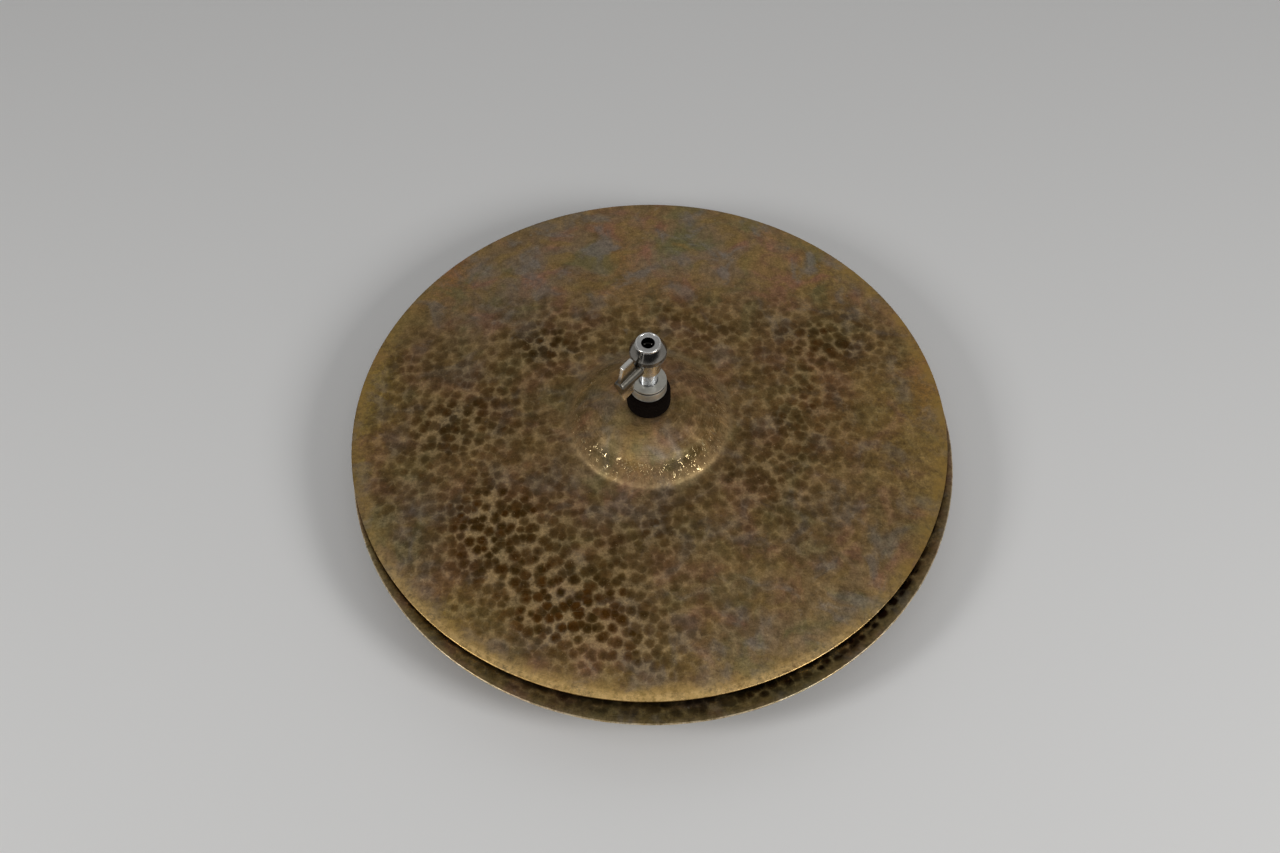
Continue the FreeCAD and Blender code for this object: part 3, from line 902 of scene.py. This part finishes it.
def clutch_head():
    """The turned head: a rolled lip round a dished face, a cone with a grooved wall and a body."""
    lip = [(HEAD_R - 0.6 + 0.6 * math.cos(a), -0.75 + 0.6 * math.sin(a))
           for a in np.linspace(-0.3, math.pi * 0.86, 12)]
    # three fine grooves round the collar's straight wall
    wall = []
    for level in np.arange(-COLLAR_DEPTH + 0.6, -COLLAR_DEPTH + COLLAR_SKIRT - 0.3, 0.08):
        wall.append((COLLAR_R - 0.1 * max(0.0, math.cos(2 * math.pi * level / 0.8)) ** 4, level))
    shoulder = -COLLAR_DEPTH + COLLAR_SKIRT
    cone = [(COLLAR_R - 0.02, shoulder - 0.15), (COLLAR_R - 0.1, shoulder + 0.1)]
    outline = [(TUBE_R, -TUBE_TOP_DEPTH), (TUBE_R, -HEAD_DEPTH)]
    foot = [(TUBE_R, -HEAD_DEPTH, 0), (HEAD_R, -HEAD_DEPTH, 0.45), (HEAD_R, -COLLAR_DEPTH, 0)]
    outline += rounded(foot)[1:]
    outline += [(COLLAR_R - 0.4, -COLLAR_DEPTH), (COLLAR_R - 0.12, -COLLAR_DEPTH + 0.12),
                (COLLAR_R, -COLLAR_DEPTH + 0.4)] + wall
    outline += cone + [(HEAD_R + 0.05, -NECK_DEPTH - 0.05), (HEAD_R - 0.05, -NECK_DEPTH + 0.1)]
    outline += [(HEAD_R - 0.05, -1.0)] + lip
    # the dished face and the counterbore that opens the rod's hole
    outline += [(HEAD_R - 1.2, -0.5), (4.0, -0.5), (3.85, -0.6), (3.85, -5.4)]
    outline += [(ROD_BORE_R, -5.8), (ROD_BORE_R, -TUBE_TOP_DEPTH)]
    piece = lathe("clutch_head_turned", at_depth(outline), CLUTCH, 192)
    cut(piece, screw_drill("drill", SCREW_HOLE_R, 0.5, HEAD_R + 1))
    return piece


def threaded_tube():
    """The hollow tube, threaded below the head and chamfered at its end."""
    _, low, high = ring_size("threaded_tube")
    thread_top = CLUTCH_TOP - HEAD_DEPTH - 0.6
    rows = np.arange(low + 0.4, thread_top, PITCH / 8)
    outline = [(ROD_BORE_R, low + 0.3), (ROD_BORE_R + 0.3, low), (TUBE_R - 0.45, low)]
    outline += [(TUBE_R, z) for z in rows] + [(TUBE_R, thread_top + 0.5), (TUBE_R, high), (ROD_BORE_R, high)]

    def press(radius, z, angle):
        fade = min(1.0, max(0.0, (thread_top - z) / 0.8), max(0.0, (z - low) / 0.5))
        return thread(z, angle) * fade if radius == TUBE_R else 0.0

    piece = lathe("threaded_tube_turned", outline, CLUTCH, 96, press)
    cut(piece, screw_drill("drill", SCREW_HOLE_R, 0.5, HEAD_R))
    return piece


def nut(name, node, rounding, slot, body, low_step=0.0, high_step=0.0):
    """A round nut or washer as big as its CAD node, with a step turned down at its low or high end."""
    radius, low, high = ring_size(node)
    low, high = low + HAIR, high - HAIR
    chamfer = 0.3 if high - low > 1.2 else 0.2
    outline = ring_outline(NUT_BORE_R, radius, low, high, rounding, chamfer, low_step, high_step)
    return wear(lathe(name, outline, CLUTCH, 192), STEEL, slot, body, node)


def felt(name, node, body, bulge, seed):
    """A felt ring, pressed into a slight barrel and matted all over."""
    radius, low, high = ring_size(node)
    bore = 6.02
    middle, half = (low + high) / 2, (high - low) / 2
    wall = []
    for t in np.linspace(-1, 1, round(2 * half / 0.28)):
        shoulder = 1 - (1 - min(1.0, (1 - abs(t)) * half / 2.0)) ** 2.2
        wall.append((radius - 1.5 * (1 - shoulder) + bulge * (1 - t * t), middle + half * t))
    lower = [(r, low) for r in np.linspace(bore + 0.3, radius - 1.75, 16)]
    upper = [(r, high) for r in np.linspace(radius - 1.75, bore + 0.3, 16)]
    hole = [(bore, z) for z in np.linspace(high - 0.3, low + 0.3, round(2 * half / 0.5))]
    outline = lower + wall + upper + hole
    piece = lathe(name, outline, CLUTCH, 288, None, 180.0)
    mesh = piece.data
    moved = []
    for vertex in mesh.vertices:
        at = vertex.co / MM
        out = math.hypot(at.x - CLUTCH.x, at.y - CLUTCH.y)
        amount = 1.0 if out > bore + 0.5 and low + 0.25 < at.z < high - 0.25 else 0.0
        mat = noise.fractal(at * 0.45 + Vector((seed, 0, 0)), 0.8, 2.2, 3)
        nap = noise.fractal(Vector((at.x, at.y, at.z * 1.6)) * 1.5 + Vector((0, seed, 0)), 0.6, 2.1, 4)
        moved.append(vertex.co + vertex.normal * (0.13 * mat + 0.1 * nap - 0.06) * MM * amount)
    for vertex, place in zip(mesh.vertices, moved):
        vertex.co = place
    return wear(piece, FELT, "felt", body, node)


def sleeve():
    radius, low, high = ring_size("cymbal_sleeve")
    outline = ring_outline(TUBE_R, radius, low, high, 0.15, 0.15, steps=4)
    return lathe("cymbal_sleeve_moulded", outline, CLUTCH, 128)


def bottom_nut():
    """The nut under the cymbal: 24 grip grooves, rounded ends and a pocket for its locking ring."""
    radius, low, high = ring_size("bottom_nut")
    pocket = 6.6
    outline = rounded([
        (NUT_BORE_R, low + 2.5, 0), (pocket, low + 2.5, 0), (pocket, low + 0.2, 0), (pocket + 0.2, low, 0),
        (radius, low, 0.8), (radius, high, 0.8), (NUT_BORE_R + 0.3, high, 0), (NUT_BORE_R, high - 0.3, 0),
    ], 6)

    def press(r, z, angle):
        across = radius * ((angle * 24 / (2 * math.pi) + 0.5) % 1.0 - 0.5) * 2 * math.pi / 24
        groove = math.sqrt(max(0.0, 0.6 ** 2 - across ** 2)) - (radius - r)
        return max(0.0, groove) if r > pocket + 1 else 0.0

    return lathe("bottom_nut_turned", outline, CLUTCH, 24 * 14, press)


def nut_insert():
    _, low, high = ring_size("bottom_nut_insert")
    outline = [(NUT_BORE_R, low + 0.3), (NUT_BORE_R + 0.3, low + 0.1), (6.4, low + 0.1), (6.58, low + 0.25),
               (6.58, high), (NUT_BORE_R, high)]
    return lathe("bottom_nut_ring", outline, CLUTCH, 128)


def screw_shank():
    """The wing screw's threaded shank, with a blind hole in its end for the tip."""
    stations = [(SHANK_START, SHANK_R - 0.5), (SHANK_START + 0.45, SHANK_R)]
    stations += [(x, SHANK_R) for x in np.arange(SHANK_START + 0.6, HUB_START + 0.4, PITCH / 10)]
    stations += [(HUB_START + 0.6, SHANK_R), (SHANK_END, SHANK_R)]

    def press(x, angle):
        fade = min(1.0, max(0.0, HUB_START + 0.5 - x), max(0.0, (x - SHANK_START) / 0.6))
        return thread(x, angle, 0.4) * fade

    piece = aim(rod("wing_screw_thread", stations, 72, press), SCREW_AZIMUTH)
    cut(piece, screw_drill("drill", 1.05, SHANK_START - 1, SHANK_START + 2.3))
    return piece


def screw_tip():
    stations = [(TIP_START, 2.2), (TIP_START + 0.12, 2.4), (TIP_START + 0.3, 2.5), (SHANK_START - 0.1, 2.5),
                (SHANK_START, 2.42), (SHANK_START, 1.0), (SHANK_START + 2.0, 1.0)]
    return aim(rod("wing_screw_point", stations, 64), SCREW_AZIMUTH)


def screw_wing():
    """The cast wing: a tapered hub and two flat ears with thicker beads at their tips, all blended."""
    hub = [(HUB_START, HUB_R - 0.35), (HUB_START + 0.35, HUB_R)]
    long = HUB_END - HUB_START - 1.2
    hub += [(HUB_START + 0.35 + t * long, HUB_R - 0.8 * t) for t in np.linspace(0.2, 1, 5)]
    hub += [(HUB_END - 0.35, HUB_R - 1.15), (HUB_END, HUB_R - 1.9)]
    tip, waist = WING_HALF_SPAN, WING_HALF_SPAN * 0.55
    outer = HUB_END - 0.8
    half = [(WAIST - 1.5, 0.0), (WAIST, waist), (EAR_IN, tip), (EAR_OUT, tip), (outer, tip * 0.3)]
    web = half + [(x, -z) for x, z in reversed(half) if z]
    solids = [rod("hub", hub, 96), slab("web", web, WING_THICK)]
    for side in (1, -1):
        bead = [(EAR_IN - 0.2, tip - 1.4), (EAR_IN + 0.25, tip),
                (EAR_OUT - 0.25, tip), (EAR_OUT + 0.2, tip - 1.4)]
        solids.append(slab("bead", [(x, side * z) for x, z in bead], BEAD_THICK))
    piece = solids[0]
    for other in solids[1:]:
        piece.data = joined(piece.data, other.data)
        bpy.data.objects.remove(other)
    piece.name = "wing_screw_casting"
    remesh = piece.modifiers.new("blend", "REMESH")
    remesh.mode = "VOXEL"
    remesh.voxel_size = 0.16 * MM
    smooth = piece.modifiers.new("soften", "SMOOTH")
    smooth.factor = 0.5
    smooth.iterations = 36
    apply_modifiers(piece)
    piece.data.polygons.foreach_set("use_smooth", [True] * len(piece.data.polygons))
    aim(piece, SCREW_AZIMUTH)
    cut(piece, screw_drill("drill", SHANK_R, HUB_START - 1, SHANK_END))
    return piece


def slab(name, outline, thickness):
    """A flat plate across the screw's axis plane, from (distance, height) corners."""
    count = len(outline)
    points = [(x, -thickness / 2, z) for x, z in outline] + [(x, thickness / 2, z) for x, z in outline]
    faces = [tuple(range(count)), tuple(range(2 * count - 1, count - 1, -1))]
    faces += [(i, i + count, (i + 1) % count + count, (i + 1) % count) for i in range(count)]
    piece = new_piece(name, points, faces)
    tidy = bmesh.new()
    tidy.from_mesh(piece.data)
    bmesh.ops.recalc_face_normals(tidy, faces=tidy.faces)
    tidy.to_mesh(piece.data)
    tidy.free()
    return piece


def joined(one, two):
    """Both meshes in one."""
    both = bmesh.new()
    both.from_mesh(one)
    both.from_mesh(two)
    mesh = bpy.data.meshes.new(one.name)
    both.to_mesh(mesh)
    both.free()
    return mesh


wear(clutch_head(), CHROME, "chrome", "clutch", "clutch_head")
wear(threaded_tube(), CHROME, "chrome", "clutch", "threaded_tube")
wear(screw_tip(), BRASS, "tip_brass", "screw_tip", "wing_screw_tip")
wear(screw_shank(), STEEL, "steel", "wing_screw", "wing_screw_shank")
wear(screw_wing(), CAST, "cast_wing", "wing_screw", "wing_screw_wing")
nut("lock_nut_turned", "lock_nut", 0.3, "steel", "lock_nut", low_step=0.5)
nut("adjusting_nut_turned", "adjusting_nut", 0.3, "steel", "adjusting_nut", high_step=0.6)
nut("upper_washer_pressed", "upper_washer", 0.2, "steel", "upper_washer")
nut("lower_washer_pressed", "lower_washer", 0.2, "steel", "lower_felt")
felt("upper_felt_pressed", "upper_felt", "clutch", 0.15, 3.0)
felt("lower_felt_pressed", "lower_felt", "lower_felt", 0.1, 11.0)
wear(sleeve(), NYLON, "nylon", "clutch", "cymbal_sleeve")
wear(bottom_nut(), STEEL, "steel", "bottom_nut", "bottom_nut")
wear(nut_insert(), NYLON, "nylon", "bottom_nut", "bottom_nut_insert")


# ---- camera, floor and light ----
def place_camera():
    """Looks down on the pair from the front, about 56 degrees above the floor, with a slight roll."""
    rim = Vector((UPPER.x, UPPER.y, RIM_LEVEL))
    spot = rim + Vector((0.0, -665.5, 994.9))
    target = rim + Vector((-5.4, 5.2, 0.0))
    data = bpy.data.cameras.new("camera")
    data.lens = 56.25
    data.sensor_width = 36.0
    camera = bpy.data.objects.new("camera", data)
    scene.collection.objects.link(camera)
    back = (spot - target).normalized()
    right = Vector((0, 0, 1)).cross(back).normalized()
    up = back.cross(right)
    roll = math.radians(-1.08)
    right, up = right * math.cos(roll) + up * math.sin(roll), up * math.cos(roll) - right * math.sin(roll)
    camera.matrix_world = Matrix.Translation(spot * MM) @ Matrix((right, up, back)).transposed().to_4x4()
    scene.camera = camera


def floor():
    """A wide, round, pale floor under the lower cymbal's bell."""
    radius, corners = 2500.0, 180
    turns = [2 * math.pi * i / corners for i in range(corners)]
    points = [(radius * math.cos(a), radius * math.sin(a), 0) for a in turns]
    plane = new_piece("floor", points, [tuple(range(corners))])
    material, nodes, shader = new_material("floor")
    connect(nodes, shader, Base_Color=(0.86, 0.855, 0.845), Roughness=0.85)
    plane.data.materials.append(material)


def area_light(name, size, spot, target, power):
    """A rectangular lamp, with its size and places in metres and its power in watts."""
    data = bpy.data.lights.new(name, "AREA")
    data.shape = "RECTANGLE"
    data.size, data.size_y = size
    data.energy = power
    light = bpy.data.objects.new(name, data)
    light.location = spot
    light.rotation_euler = (Vector(target) - Vector(spot)).to_track_quat("-Z", "Y").to_euler()
    scene.collection.objects.link(light)


def sky():
    """A soft surround, brightest behind, dimmer overhead and dark low down at the front and left."""
    world = bpy.data.worlds.new("studio")
    world.use_nodes = True
    scene.world = world
    nodes = Tree(world.node_tree)
    direction = nodes.make("ShaderNodeTexCoord").outputs["Generated"]
    across, forward, high = nodes.split(direction)
    colour = nodes.mix(nodes.ramp(high, -0.05, 0.7), (0.2, 0.2, 0.205), (0.34, 0.34, 0.335))
    colour = nodes.mix(nodes.ramp(forward, 0.62, 0.05), colour, (0.145, 0.145, 0.145))
    front = nodes.times(nodes.ramp(forward, 0.1, -0.7), nodes.ramp(high, 0.62, 0.1))
    left = nodes.times(nodes.ramp(across, 0.1, -0.7), nodes.ramp(high, 0.75, 0.25))
    shade = nodes.math("MAXIMUM", front, nodes.times(left, 0.7))
    colour = nodes.mix(shade, colour, (0.035, 0.035, 0.037))
    world.node_tree.links.new(colour, world.node_tree.nodes["Background"].inputs["Color"])


place_camera()
floor()
sky()
MIDDLE = (0, 0.01, 0.06)
area_light("left_softbox", (0.35, 0.5), (-1.05, -0.62, 0.98), MIDDLE, 5.5)
area_light("right_softbox", (0.5, 0.6), (1.05, -0.78, 1.0), MIDDLE, 9.0)
area_light("top_softbox", (1.4, 0.8), (0.0, -0.5, 1.9), MIDDLE, 2.4)
area_light("strip_softbox", (0.09, 0.5), (-0.66, -1.1, 0.12), (0, 0.01, 0.12), 0.14)
scene.view_settings.view_transform = "Standard"
